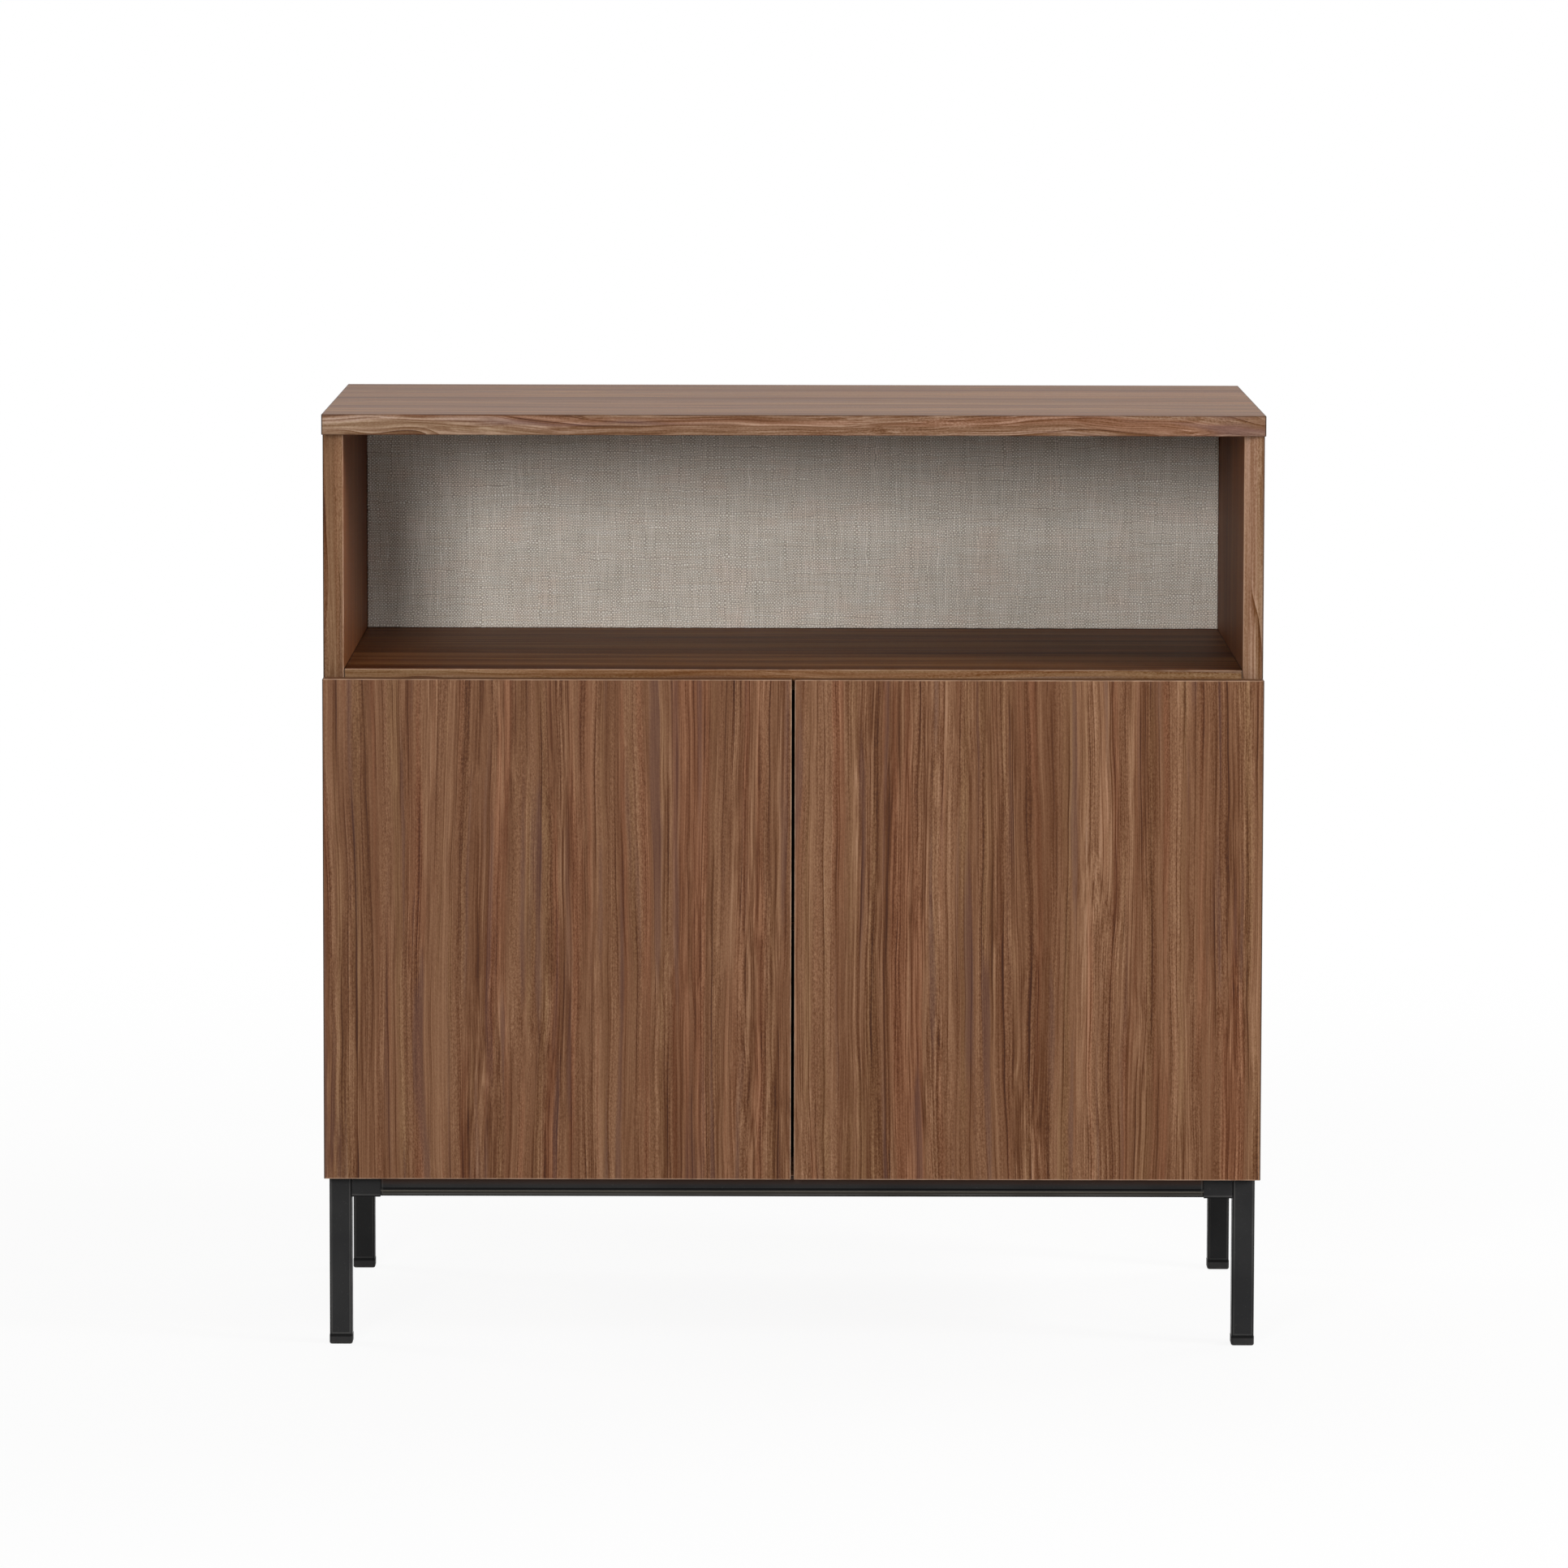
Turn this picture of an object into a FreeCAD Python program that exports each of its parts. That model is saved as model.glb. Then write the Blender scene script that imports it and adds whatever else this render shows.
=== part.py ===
import FreeCAD, Part
import os

os.makedirs("parts", exist_ok=True)

# Office credenza on a steel leg frame. Millimetres, +X right, +Y to the back, +Z up.
# The origin is on the floor under the middle of the top panel.

# ---- Overall sizes -------------------------------------------------------------
overall_width = 914.0
overall_depth = 508.0
overall_height = 914.0
base_height = 167.0        # floor to the underside of the carcass
open_height = 229.0        # clear height of the open compartment

# ---- Boards --------------------------------------------------------------------
board = 20.0               # top, sides, fixed shelf, bottom and loose shelf
door_board = 20.0
back_board = 12.0
tack_board_thickness = 12.0
fabric_thickness = 1.0
tack_clearance = 1.0       # tack board to the panels around it
edge_round = 0.8           # softened arris of every laminated board

# ---- Doors ---------------------------------------------------------------------
door_gap = 2.0             # back of a closed door to the front of the carcass
door_spacing = 3.0         # between the two doors
door_top_reveal = 8.0      # top of the fixed shelf to the top of a door

# ---- Loose shelf and its pins --------------------------------------------------
shelf_setback = 25.0       # loose shelf behind the front of the carcass
shelf_side_gap = 1.5
shelf_back_gap = 3.0
pin_radius = 2.5
pin_depth = 8.0            # length of a pin inside the side panel
pin_pad = 8.0              # square pad that carries the shelf
pin_hole_depth = 10.0
pin_hole_pitch = 32.0
pin_hole_count = 7
pin_row_inset = 60.0       # hole rows from the front of the carcass and from the back panel

# ---- Concealed cup hinges ------------------------------------------------------
# Plan positions in the hinge are (in, out): in from the outer face of the carcass
# side, out from the front of the carcass.
hinge_inset = 90.0         # hinge centre to the nearer end of the door
cup_radius = 17.5
cup_depth = 11.5
cup_wall = 1.2
cup_tab = 3.0              # door edge to the cup bore
cup_flange_height = 62.0
cup_flange_width = 17.0
cup_flange_thickness = 1.0
cup_screw_spacing = 48.0
link_height = 12.0
link_thickness = 2.5
link_eye_radius = 3.0
hinge_pin_radius = 1.5
pin_bore_spare = 0.5       # pin bore past each end of what it goes through
arm_pivot_standoff = 15.0  # arm pin from the inner face of the side panel
arm_pivot_setback = 6.0    # arm pin behind the front of the carcass
cup_pivot_inset = 8.0      # cup pin from the edge of the cup bore nearest the door's edge
cup_pivot_sink = 3.5       # cup pin below the back face of the door
link_reach = 16.0          # cup pin to the bend in the link, along the door
arm_wall = 2.0
arm_length = 54.0
arm_web_setback = 8.0      # arm pivot to the closed front end of the arm's web
arm_outer_lip = 4.5        # arm pin to the outside of the web
arm_inner_lip = 8.5        # arm pin to the free edges of the ears
plate_height = 44.0
plate_thickness = 2.5
plate_width = 34.0
plate_setback = 41.0       # middle of the plate behind the front of the carcass
plate_step = 2.0           # plate to its raised block, at each end
plate_screw_spacing = 32.0

# ---- Push latches --------------------------------------------------------------
latch_offset = 26.0        # latch axis from the middle of the credenza
latch_width = 12.0
latch_height = 14.0
latch_length = 70.0
latch_setback = 2.0        # latch body behind the front of the carcass
latch_ear = 9.0
latch_ear_thickness = 3.0
latch_ear_length = 16.0
latch_round = 1.5
plunger_radius = 4.0
plunger_length = 46.0
plunger_travel = 3.0
plunger_rest_gap = 0.3     # plunger tip to the strike plate
plunger_round = 1.0
spring_wire = 0.8
spring_radius = 2.9        # middle of the wire
spring_length = 12.0
spring_turns = 5
strike_radius = 9.0
strike_thickness = 1.0

# ---- Leg frame -----------------------------------------------------------------
leg_size = 22.0
leg_wall = 1.5
leg_corner = 2.5
leg_inset = 4.0            # leg inside the carcass at the sides and back
leg_top_plate = 3.0
foot_height = 9.0
foot_proud = 0.3           # foot outside the tube, each side
foot_round = 2.0
plug_length = 14.0
rail_height = 20.0
rail_wall = 3.0
rail_setback = 0.5         # rail face behind the leg face
groove_top = 12.2          # top of a rail to the top of its groove
groove_height = 2.7
groove_depth = 2.2
groove_slope = 1.2         # height of the groove's sloping lower lip
socket_length = 28.0       # stub welded to a leg
socket_extra = 1.0         # socket below the rail
spigot_length = 40.0       # part of the stub inside a rail

# ---- Fasteners -----------------------------------------------------------------
cam_radius = 7.5
cam_height = 12.5
cam_inset = 34.0           # cam centre from the end of its panel
cam_bolt_radius = 3.0
cam_bolt_thread = 11.0     # bolt inside the side panel
cam_row_inset = 50.0
dowel_radius = 4.0
dowel_length = 30.0
dowel_cover = 8.0          # board left over the end of a dowel
dowel_hole_spare = 1.0
dowel_row_inset = 90.0
screw_radius = 2.0
screw_head_radius = 4.0
screw_head_height = 2.4
back_screw_grip = 23.0     # in the rear edge of the fixed shelf or the bottom
back_screw_offset = 300.0
plate_screw_length = 14.0
cup_screw_length = 12.0
latch_screw_length = 14.0
base_screw_grip = 12.0     # in the carcass
driver_hole_radius = 5.0   # in the underside of a rail
base_screw_offset = 260.0
lock_screw_length = 8.0

# ---- Fits ----------------------------------------------------------------------
pin_fit = 0.05             # hinge pin in its link and ears
hole_fit = 0.05            # screws, dowels, cams and pins in their holes
slide_fit = 0.1            # latch plunger in its bore
plug_fit = 0.2             # foot plug in its tube
spigot_fit = 0.4           # spigot in its rail
side_play = 0.4            # link between the ears that hold it

# ---- Places that follow from the sizes -----------------------------------------
half_width = overall_width / 2
front = -overall_depth / 2
back = overall_depth / 2
inner = half_width - board
back_screw_length = back_board + back_screw_grip
base_screw_length = rail_wall + base_screw_grip
carcass_front = front + door_board + door_gap
carcass_top = overall_height - board
back_face = back - back_board
tack_face = back_face - tack_board_thickness
fabric_face = tack_face - fabric_thickness
shelf_top = carcass_top - open_height
shelf_under = shelf_top - board
floor_top = base_height + board
door_top = shelf_top - door_top_reveal
pin_level = (floor_top + shelf_under - board) / 2
pin_rows = (carcass_front + pin_row_inset, back_face - pin_row_inset)
hinge_levels = {"upper": door_top - hinge_inset, "lower": base_height + hinge_inset}

X = FreeCAD.Vector(1, 0, 0)
Y = FreeCAD.Vector(0, 1, 0)
Z = FreeCAD.Vector(0, 0, 1)
parts = {}


# ---- Shape helpers -------------------------------------------------------------
def block(x0, x1, y0, y1, z0, z1):
    """Box between two corners."""
    low = FreeCAD.Vector(min(x0, x1), min(y0, y1), min(z0, z1))
    return Part.makeBox(abs(x1 - x0), abs(y1 - y0), abs(z1 - z0), low)


def panel(x0, x1, y0, y1, z0, z1):
    """Laminated board with softened arrises."""
    shape = block(x0, x1, y0, y1, z0, z1)
    return shape.makeFillet(edge_round, shape.Edges)


def rod(x, y, z, radius, length, direction):
    """Round bar from a point along a direction."""
    return Part.makeCylinder(radius, length, FreeCAD.Vector(x, y, z), direction)


def mirrored(shape):
    """The same piece for the other side of the credenza."""
    return shape.mirror(FreeCAD.Vector(0, 0, 0), X)


def both_sides(shapes):
    """Left-hand solids with their right-hand twins."""
    return list(shapes) + [mirrored(shape) for shape in shapes]


def square_bar(cx, cy, size, corner, z0, z1):
    """Upright square bar with rounded corners."""
    half = size / 2
    shape = block(cx - half, cx + half, cy - half, cy + half, z0, z1)
    upright = [edge for edge in shape.Edges if abs(edge.tangentAt(edge.FirstParameter).z) > 0.9]
    return shape.makeFillet(corner, upright)


def screw(x, y, z, direction, length):
    """Flat-headed screw: the head's flat is at the point, the shank runs along direction."""
    seat = FreeCAD.Vector(x, y, z)
    head = Part.makeCone(screw_head_radius, screw_radius, screw_head_height, seat, direction)
    return head.fuse(Part.makeCylinder(screw_radius, length, seat, direction)).removeSplitter()


def screw_hole(x, y, z, direction, length):
    """What a flat-headed screw takes out of the pieces that it passes through."""
    seat = FreeCAD.Vector(x, y, z)
    wide = screw_head_radius + hole_fit
    narrow = screw_radius + hole_fit
    sink = Part.makeCone(wide, narrow, screw_head_height, seat, direction)
    return sink.fuse(Part.makeCylinder(narrow, length + hole_fit, seat, direction))


# ---- Fastener positions --------------------------------------------------------
cam_rows = (carcass_front + cam_row_inset, back_face - cam_row_inset)
dowel_rows = (carcass_front + dowel_row_inset, back_face - dowel_row_inset)
cross_panels = {"fixed_shelf": shelf_under, "bottom_panel": base_height}


def cam_set(grow):
    """Cam discs and bolts on the left, for the fixed shelf and the bottom."""
    discs = []
    bolts = []
    for under in cross_panels.values():
        for y in cam_rows:
            centre = -inner + cam_inset
            middle = under + board / 2
            discs.append(rod(centre, y, under, cam_radius + grow, cam_height + grow, Z))
            start = -inner - cam_bolt_thread - grow
            bolts.append(rod(start, y, middle, cam_bolt_radius + grow, centre - start + grow, X))
    return discs, bolts


def dowel_set(grow, spare):
    """Dowels on the left: up into the top panel and out into the side panel."""
    length = dowel_length + 2 * spare
    radius = dowel_radius + grow
    buried = board - dowel_cover
    dowels = []
    for y in dowel_rows + ((carcass_front + back_face) / 2,):
        foot = carcass_top - (dowel_length - buried) - spare
        dowels.append(rod(-half_width + board / 2, y, foot, radius, length, Z))
    for under in cross_panels.values():
        for y in dowel_rows:
            dowels.append(rod(-inner - buried - spare, y, under + board / 2, radius, length, X))
    return dowels


cam_discs, cam_bolts = cam_set(0)
disc_room, bolt_room = cam_set(hole_fit)
dowels = dowel_set(0, 0)
dowel_room = dowel_set(hole_fit, dowel_hole_spare)
joint_room = Part.makeCompound(both_sides(disc_room + bolt_room + dowel_room))
bolt_way = Part.makeCompound([rod(-inner, y, under + board / 2, cam_bolt_radius + hole_fit,
                                  cam_inset + hole_fit, X)
                              for under in cross_panels.values() for y in cam_rows])
parts["cam_discs"] = Part.makeCompound(both_sides([disc.cut(bolt_way) for disc in cam_discs]))
parts["cam_bolts"] = Part.makeCompound(both_sides(cam_bolts))
parts["dowels"] = Part.makeCompound(both_sides(dowels))

back_seats = [(x, z) for z in (shelf_under + board / 2, base_height + board / 2)
              for x in (-back_screw_offset, 0.0, back_screw_offset)]
back_screws = [screw(x, back, z, -Y, back_screw_length) for x, z in back_seats]
back_room = Part.makeCompound([screw_hole(x, back, z, -Y, back_screw_length) for x, z in back_seats])
parts["back_screws"] = Part.makeCompound(back_screws)

# ---- Leg frame -----------------------------------------------------------------
leg_x = half_width - leg_inset - leg_size / 2
leg_y = {"front": carcass_front + leg_size / 2, "rear": back - leg_inset - leg_size / 2}
leg_half = leg_size / 2
rail_low = base_height - rail_height
rail_depth = leg_size - 2 * rail_setback


def leg(y):
    """Square steel tube, closed at the top by a welded plate."""
    outside = square_bar(-leg_x, y, leg_size, leg_corner, foot_height, base_height)
    hollow = square_bar(-leg_x, y, leg_size - 2 * leg_wall, leg_corner - leg_wall,
                        foot_height, base_height - leg_top_plate)
    return outside.cut(hollow)


def foot(y):
    """Moulded foot: a pad under the tube with a plug that fills its end."""
    pad = square_bar(-leg_x, y, leg_size + 2 * foot_proud, leg_corner + foot_proud, 0, foot_height)
    low = [edge for edge in pad.Edges if edge.BoundBox.ZMax < foot_round]
    pad = pad.makeFillet(foot_round, low)
    plug_size = leg_size - 2 * leg_wall - 2 * plug_fit
    plug = square_bar(-leg_x, y, plug_size, leg_corner - leg_wall, foot_height, foot_height + plug_length)
    return pad.fuse(plug)


def rail(length):
    """Hollow rail along X, grooved on its outer face; z=0 is its top, y=0 its outer face."""
    tube = block(-length / 2, length / 2, 0, rail_depth, -rail_height, 0)
    hollow = block(-length / 2, length / 2, rail_wall, rail_depth - rail_wall,
                   -rail_height + rail_wall, -rail_wall)
    lip = groove_top + groove_height
    corners = [(0, -groove_top), (groove_depth, -groove_top),
               (groove_depth, -lip), (0, -lip - groove_slope)]
    points = [FreeCAD.Vector(-length / 2, y, z) for y, z in corners]
    groove = Part.Face(Part.makePolygon(points + points[:1])).extrude(X * length)
    return tube.cut(hollow).cut(groove)


def stub():
    """Socket block and spigot along +X from a leg's face; z=0 is its top, y=0 its outer face."""
    socket = block(0, socket_length, 0, leg_size, -rail_height - socket_extra, 0)
    inset = rail_wall + spigot_fit
    spigot = block(socket_length, socket_length + spigot_length, rail_setback + inset,
                   rail_setback + rail_depth - inset, -rail_height + inset, -inset)
    return socket.fuse(spigot)


def lock_screw():
    """Grub screw up through a rail into its spigot, in the stub's own frame."""
    x = socket_length + spigot_length / 2
    return rod(x, leg_half, -rail_height, screw_radius, lock_screw_length, Z)


def lock_room():
    x = socket_length + spigot_length / 2
    return rod(x, leg_half, -rail_height, screw_radius + hole_fit, lock_screw_length + hole_fit, Z)


def frame_faces():
    """Outer faces of the frame: turn about Z, and the place of the left end of each face."""
    near = leg_x - leg_half
    far = leg_y["rear"] + leg_half
    across = leg_x + leg_half
    return {"front": (0, FreeCAD.Vector(-near, carcass_front, base_height)),
            "right": (90, FreeCAD.Vector(across, leg_y["front"] + leg_half, base_height)),
            "rear": (180, FreeCAD.Vector(near, far, base_height)),
            "left": (270, FreeCAD.Vector(-across, leg_y["rear"] - leg_half, base_height))}


def set_on_face(shape, face, along):
    """Place a piece made along X on one outer face of the frame."""
    turn, corner = frame_faces()[face]
    shape = shape.copy()
    shape.translate(X * along)
    shape.rotate(FreeCAD.Vector(0, 0, 0), Z, turn)
    shape.translate(corner)
    return shape


face_span = {"front": 2 * (leg_x - leg_half), "rear": 2 * (leg_x - leg_half),
             "left": leg_y["rear"] - leg_y["front"] - leg_size,
             "right": leg_y["rear"] - leg_y["front"] - leg_size}
base_screw_places = {"front": (-base_screw_offset, base_screw_offset),
                     "rear": (-base_screw_offset, base_screw_offset), "left": (0.0,), "right": (0.0,)}
stubs = []
lock_screws = []
base_screws = []
base_room = []
for face, span in face_span.items():
    # The stub at the far end of a face is the near one turned end for end.
    swap = FreeCAD.Vector(span / 2, leg_half, 0)
    face_stubs = [stub().cut(lock_room())]
    face_locks = [lock_screw()]
    for group in (face_stubs, face_locks):
        twin = group[0].copy()
        twin.rotate(swap, Z, 180)
        group.append(twin)
    stubs += [set_on_face(shape, face, 0) for shape in face_stubs]
    lock_screws += [set_on_face(shape, face, 0) for shape in face_locks]

    bar = rail(span - 2 * socket_length)
    bar.translate(Y * rail_setback)
    for x in base_screw_places[face]:
        seat_z = -rail_wall
        shank = rod(x, leg_half, seat_z, screw_radius, base_screw_length, Z)
        head = rod(x, leg_half, seat_z - screw_head_height, screw_head_radius, screw_head_height, Z)
        base_screws.append(set_on_face(shank.fuse(head), face, span / 2))
        shank_way = rod(x, leg_half, seat_z, screw_radius + hole_fit, base_screw_length + hole_fit, Z)
        base_room.append(set_on_face(shank_way, face, span / 2))
        driver_way = rod(x, leg_half, -rail_height, driver_hole_radius, rail_wall, Z)
        bar = bar.cut(shank_way).cut(driver_way)
    bar = set_on_face(bar, face, span / 2)
    for hole in (lock_room(), lock_room().mirror(swap, X)):
        bar = bar.cut(set_on_face(hole, face, 0))
    parts[face + "_rail"] = bar

parts["rail_stubs"] = Part.makeCompound(stubs)
parts["rail_lock_screws"] = Part.makeCompound(lock_screws)
parts["base_screws"] = Part.makeCompound(base_screws)
base_room = Part.makeCompound(base_room)
for end, y in leg_y.items():
    parts[end + "_left_leg"] = leg(y)
    parts[end + "_right_leg"] = mirrored(leg(y))
    parts[end + "_left_foot"] = foot(y)
    parts[end + "_right_foot"] = mirrored(foot(y))


# ---- Cup hinges, drawn for the left door ---------------------------------------
def at(place, z):
    """A plan position in the hinge, on the left of the credenza."""
    return FreeCAD.Vector(-half_width + place[0], carcass_front - place[1], z)


def hinge_block(in0, in1, out0, out1, z0, z1):
    low = at((in0, out0), z0)
    high = at((in1, out1), z1)
    return block(low.x, high.x, low.y, high.y, z0, z1)


def hinge_rod(place, z, radius, height):
    """Upright round bar centred on a level."""
    return Part.makeCylinder(radius, height, at(place, z - height / 2), Z)


arm_pivot = (board + arm_pivot_standoff, -arm_pivot_setback)
cup_pivot = (cup_tab + cup_pivot_inset, door_gap + cup_pivot_sink)
link_knee = (cup_pivot[0] + link_reach, cup_pivot[1])
cup_centre = (cup_tab + cup_radius, door_gap)
ear_inside = link_height / 2 + side_play
pin_height = 2 * (ear_inside + arm_wall)
cup_screw_offsets = [side * cup_screw_spacing / 2 for side in (-1, 1)]


def cup_bore(z):
    return Part.makeCylinder(cup_radius, cup_depth, at(cup_centre, z), -Y)


def hinge_cup(z):
    """Pressed cup in the door: a flanged pot with two ears that carry the cup pin."""
    flange = hinge_block(cup_centre[0] - cup_flange_width / 2, cup_centre[0] + cup_flange_width / 2,
                         door_gap - cup_flange_thickness, door_gap,
                         z - cup_flange_height / 2, z + cup_flange_height / 2)
    rim = Part.makeCylinder(cup_radius, cup_flange_thickness, at(cup_centre, z), Y)
    pot = cup_bore(z).fuse([flange, rim])
    mouth = at((cup_centre[0], door_gap - cup_flange_thickness), z)
    hollow = Part.makeCylinder(cup_radius - cup_wall, cup_depth + cup_flange_thickness - cup_wall, mouth, -Y)
    ear_half = cup_pivot_sink
    reach = door_gap + cup_depth - cup_wall
    ears = [hinge_block(cup_pivot[0] - ear_half, cup_pivot[0] + ear_half, cup_pivot[1] - ear_half, reach,
                        z + side * ear_inside, z + side * cup_radius) for side in (-1, 1)]
    ears = Part.makeCompound(ears).common(hollow)
    shape = pot.cut(hollow).fuse(ears.Solids)
    shape = shape.cut(hinge_rod(cup_pivot, z, hinge_pin_radius + pin_fit, pin_height + 2 * pin_fit))
    for seat in cup_screw_offsets:
        shape = shape.cut(cup_screw_room(z + seat))
    return shape


def cup_screw(z, make=screw):
    place = at((cup_centre[0], door_gap - cup_flange_thickness), z)
    return make(place.x, place.y, place.z, -Y, cup_screw_length)


def cup_screw_room(z):
    return cup_screw(z, screw_hole)


def hinge_link(z):
    """Cranked link from the arm pin round the door's edge to the cup pin."""
    pieces = [hinge_rod(place, z, link_eye_radius, link_height) for place in (arm_pivot, cup_pivot)]
    pieces.append(hinge_rod(link_knee, z, link_thickness / 2, link_height))
    for start, end in ((cup_pivot, link_knee), (link_knee, arm_pivot)):
        first = at(start, z - link_height / 2)
        last = at(end, z - link_height / 2)
        along = last - first
        side = Z.cross(along).normalize() * (link_thickness / 2)
        corners = [first + side, last + side, last - side, first - side, first + side]
        pieces.append(Part.Face(Part.makePolygon(corners)).extrude(Z * link_height))
    shape = pieces[0].fuse(pieces[1:]).removeSplitter()
    for place in (arm_pivot, cup_pivot):
        shape = shape.cut(hinge_rod(place, z, hinge_pin_radius + pin_fit, link_height + 2 * pin_bore_spare))
    return shape


arm_front = arm_pivot[1] + link_eye_radius
arm_outer = arm_pivot[0] + arm_outer_lip
arm_low = arm_pivot[0] - arm_inner_lip
arm_back = arm_pivot[1] - arm_length
web_inside = arm_outer - arm_wall


def hinge_arm(z):
    """Pressed channel arm: two ears that hold the arm pin, joined by a web behind them."""
    web = hinge_block(web_inside, arm_outer, arm_back, arm_pivot[1] - arm_web_setback,
                      z - ear_inside - arm_wall, z + ear_inside + arm_wall)
    ears = [hinge_block(arm_low, arm_outer, arm_back, arm_front,
                        z + side * ear_inside, z + side * (ear_inside + arm_wall)) for side in (-1, 1)]
    return web.fuse(ears).removeSplitter().cut(
        hinge_rod(arm_pivot, z, hinge_pin_radius + pin_fit, pin_height + 2 * pin_bore_spare))


plate_front = -plate_setback + plate_width / 2
plate_back = -plate_setback - plate_width / 2


def plate_screws(z, make):
    seats = [at((board + plate_thickness, -plate_setback), z + side * plate_screw_spacing / 2)
             for side in (-1, 1)]
    return [make(seat.x, seat.y, seat.z, -X, plate_screw_length) for seat in seats]


def hinge_plate(z):
    """Mounting plate on the side panel, with the raised block that the arm clips over."""
    base = hinge_block(board, board + plate_thickness, plate_back, plate_front,
                       z - plate_height / 2, z + plate_height / 2)
    raised = hinge_block(board, web_inside, plate_back + plate_step, plate_front - plate_step,
                         z - ear_inside + side_play / 2, z + ear_inside - side_play / 2)
    return base.fuse(raised).removeSplitter().cut(Part.makeCompound(plate_screws(z, screw_hole)))


def for_side(side, shape):
    return mirrored(shape) if side == "right" else shape


plates = []
arm_pins = []
plate_screw_solids = []
plate_room = []
for side in ("left", "right"):
    cup_pins = []
    cup_screws = []
    for level, z in hinge_levels.items():
        name = side + "_" + level + "_hinge_"
        parts[name + "cup"] = for_side(side, hinge_cup(z))
        parts[name + "link"] = for_side(side, hinge_link(z))
        parts[name + "arm"] = for_side(side, hinge_arm(z))
        plates.append(for_side(side, hinge_plate(z)))
        arm_pins.append(for_side(side, hinge_rod(arm_pivot, z, hinge_pin_radius, pin_height)))
        cup_pins.append(for_side(side, hinge_rod(cup_pivot, z, hinge_pin_radius, pin_height)))
        cup_screws += [for_side(side, cup_screw(z + seat)) for seat in cup_screw_offsets]
        plate_screw_solids += [for_side(side, shape) for shape in plate_screws(z, screw)]
        plate_room += [for_side(side, shape) for shape in plate_screws(z, screw_hole)]
    parts[side + "_cup_pins"] = Part.makeCompound(cup_pins)
    parts[side + "_cup_screws"] = Part.makeCompound(cup_screws)
parts["hinge_plates"] = Part.makeCompound(plates)
parts["hinge_arm_pins"] = Part.makeCompound(arm_pins)
parts["hinge_plate_screws"] = Part.makeCompound(plate_screw_solids)
plate_room = Part.makeCompound(plate_room)

# ---- Push latches under the fixed shelf ----------------------------------------
latch_z = shelf_under - latch_height / 2
latch_front = carcass_front + latch_setback
strike_face = carcass_front - door_gap + strike_thickness
plunger_tip = strike_face + plunger_rest_gap
plunger_end = plunger_tip + plunger_length
spring_end = plunger_end + spring_length
bore_end = spring_end + plunger_travel + plunger_rest_gap
latch_back = latch_front + latch_length
ear_middle = latch_front + latch_length / 2
latch_seats = [(-latch_offset + side * (latch_width + latch_ear) / 2, ear_middle) for side in (-1, 1)]


def latch_screws(make):
    return [make(x, y, shelf_under - latch_ear_thickness, Z, latch_screw_length) for x, y in latch_seats]


def latch_body():
    case = block(-latch_offset - latch_width / 2, -latch_offset + latch_width / 2,
                 latch_front, latch_back, shelf_under - latch_height, shelf_under)
    along = [edge for edge in case.Edges if edge.BoundBox.YLength > latch_length / 2
             and edge.BoundBox.ZMax < shelf_under - 1]
    case = case.makeFillet(latch_round, along)
    reach = latch_width / 2 + latch_ear
    ears = block(-latch_offset - reach, -latch_offset + reach, ear_middle - latch_ear_length / 2,
                 ear_middle + latch_ear_length / 2, shelf_under - latch_ear_thickness, shelf_under)
    bore = rod(-latch_offset, latch_front, latch_z, plunger_radius + slide_fit, bore_end - latch_front, Y)
    shape = case.fuse(ears).removeSplitter().cut(bore)
    return shape.cut(Part.makeCompound(latch_screws(screw_hole)))


def latch_plunger():
    body = rod(-latch_offset, plunger_tip, latch_z, plunger_radius, plunger_length, Y)
    return body.makeFillet(plunger_round, [body.Edges[0], body.Edges[2]])


def latch_spring():
    """Close-wound wire coil between the plunger and the end of its bore."""
    height = spring_length - spring_wire
    coil = Part.makeHelix(height / spring_turns, height, spring_radius)
    section = Part.Wire(Part.makeCircle(spring_wire / 2, FreeCAD.Vector(spring_radius, 0, 0), Y))
    wire = Part.Wire(coil).makePipeShell([section], True, True)
    wire.rotate(FreeCAD.Vector(0, 0, 0), X, -90)
    wire.translate(FreeCAD.Vector(-latch_offset, plunger_end + spring_wire / 2, latch_z))
    return wire


strike = rod(-latch_offset, strike_face, latch_z, strike_radius, strike_thickness, -Y)
for side in ("left", "right"):
    parts[side + "_latch_body"] = for_side(side, latch_body())
    parts[side + "_latch_plunger"] = for_side(side, latch_plunger())
    parts[side + "_latch_spring"] = for_side(side, latch_spring())
    parts[side + "_strike_plate"] = for_side(side, strike)
parts["latch_screws"] = Part.makeCompound(both_sides(latch_screws(screw)))
latch_room = Part.makeCompound(both_sides(latch_screws(screw_hole)))


# ---- Loose shelf on its pins ---------------------------------------------------
def pin_place(y, z):
    """One shelf pin on the left: a shank in the side panel and a square pad under the shelf."""
    shank = rod(-inner - pin_depth, y, z - pin_pad / 2, pin_radius - hole_fit, pin_depth + pin_pad / 2, X)
    pad = block(-inner, -inner + pin_pad, y - pin_pad / 2, y + pin_pad / 2, z - pin_pad, z)
    return shank.fuse(pad).removeSplitter()


parts["shelf_pins"] = Part.makeCompound(both_sides([pin_place(y, pin_level) for y in pin_rows]))
hole_steps = [step - (pin_hole_count - 1) // 2 for step in range(pin_hole_count)]
pin_holes = Part.makeCompound(both_sides([
    rod(-inner - pin_hole_depth, y, pin_level - pin_pad / 2 + step * pin_hole_pitch,
        pin_radius, pin_hole_depth, X)
    for y in pin_rows for step in hole_steps]))
parts["adjustable_shelf"] = panel(-inner + shelf_side_gap, inner - shelf_side_gap,
                                  carcass_front + shelf_setback, back_face - shelf_back_gap,
                                  pin_level, pin_level + board)

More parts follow.
